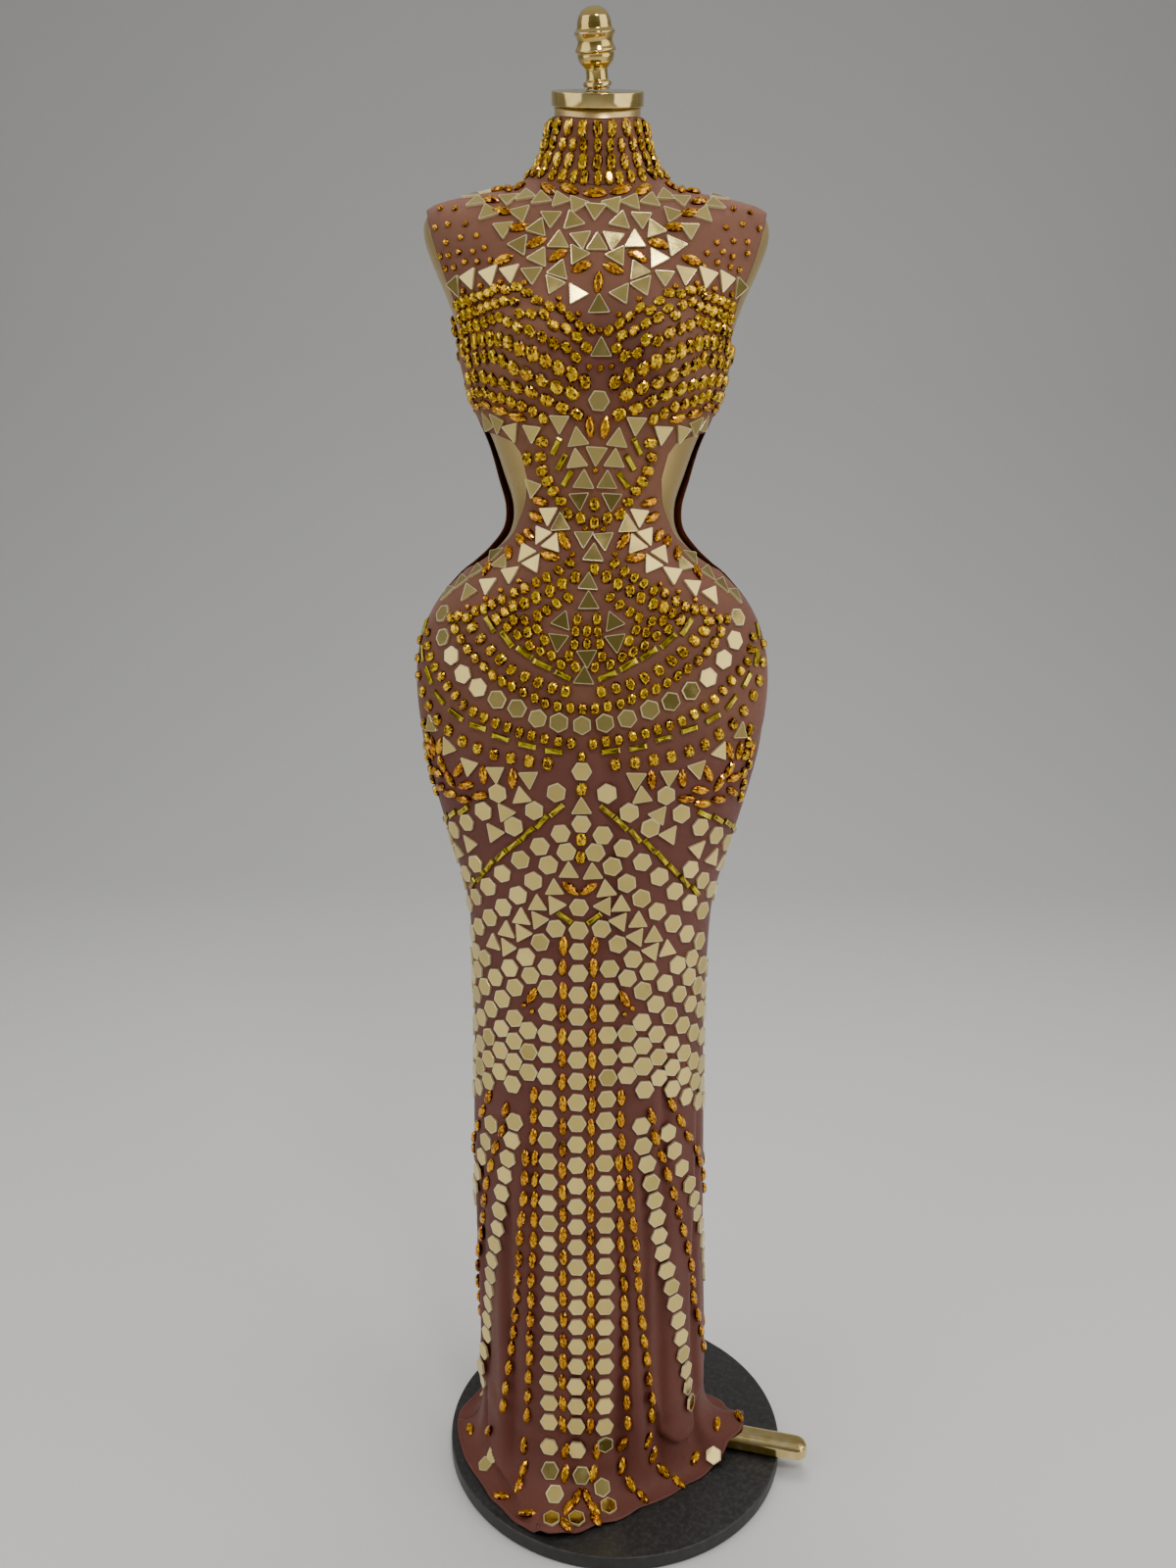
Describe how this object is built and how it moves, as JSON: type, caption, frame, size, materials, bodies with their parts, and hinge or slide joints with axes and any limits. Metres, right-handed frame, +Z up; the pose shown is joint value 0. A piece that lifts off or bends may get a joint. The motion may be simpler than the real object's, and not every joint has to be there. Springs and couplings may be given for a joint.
{
  "type": "evening gown on a dress form",
  "caption": "Floor-length sleeveless evening gown with a stand collar, side waist cut-outs, mirror tiles and stones, standing on a limbless dress form with a round base.",
  "frame": {"origin": "underside of the base disc, straight below the middle of the torso", "axes": "+Z up along the torso, -Y to the front of the gown, +X to the side of the pedal"},
  "size_m": [0.4994, 0.442, 1.742],
  "materials": {
    "power_mesh": "fine stretch power mesh, matt",
    "zip_tape": "woven tape with fine coil teeth",
    "zip_metal": "polished",
    "form_gold": "glossy champagne gold lacquer",
    "polished_gold": "mirror polished",
    "post_metal": "brushed",
    "base_black": "matt black powder coat",
    "mirror_tile": "gold mirror acrylic with a pale bevelled rim",
    "amber_stone": "faceted, foil backed",
    "gold_stone": "faceted, foil backed"
  },
  "bodies": {
    "gown_and_form": {"front": "power_mesh", "back_left": "power_mesh", "back_right": "power_mesh", "collar": "power_mesh", "zip_chain": "zip_tape", "zip_slider": "zip_metal", "torso": "form_gold", "neck_cap": "polished_gold", "finial": "polished_gold", "post": "post_metal", "post_socket": "post_metal", "base_disc": "base_black", "pedal_bracket": "post_metal"},
    "pedal": {"pedal": "polished_gold"},
    "zip_pull": {"zip_pull": "zip_metal"}
  },
  "joints": [
    {"name": "pedal_press", "type": "hinge", "parent": "gown_and_form", "child": "pedal", "pos_m": [0.09725, -0.01427, 0.033], "axis": [0.2419, 0.9703, 0], "range_deg": [0, 1.7], "stiffness_Nm_per_rad": 20, "springref_deg": -5.73},
    {"name": "pull_swing", "type": "hinge", "parent": "gown_and_form", "child": "zip_pull", "pos_m": [0, 0.05737, 1.63415], "axis": [1, 0, 0], "range_deg": [0, 150]}
  ]
}
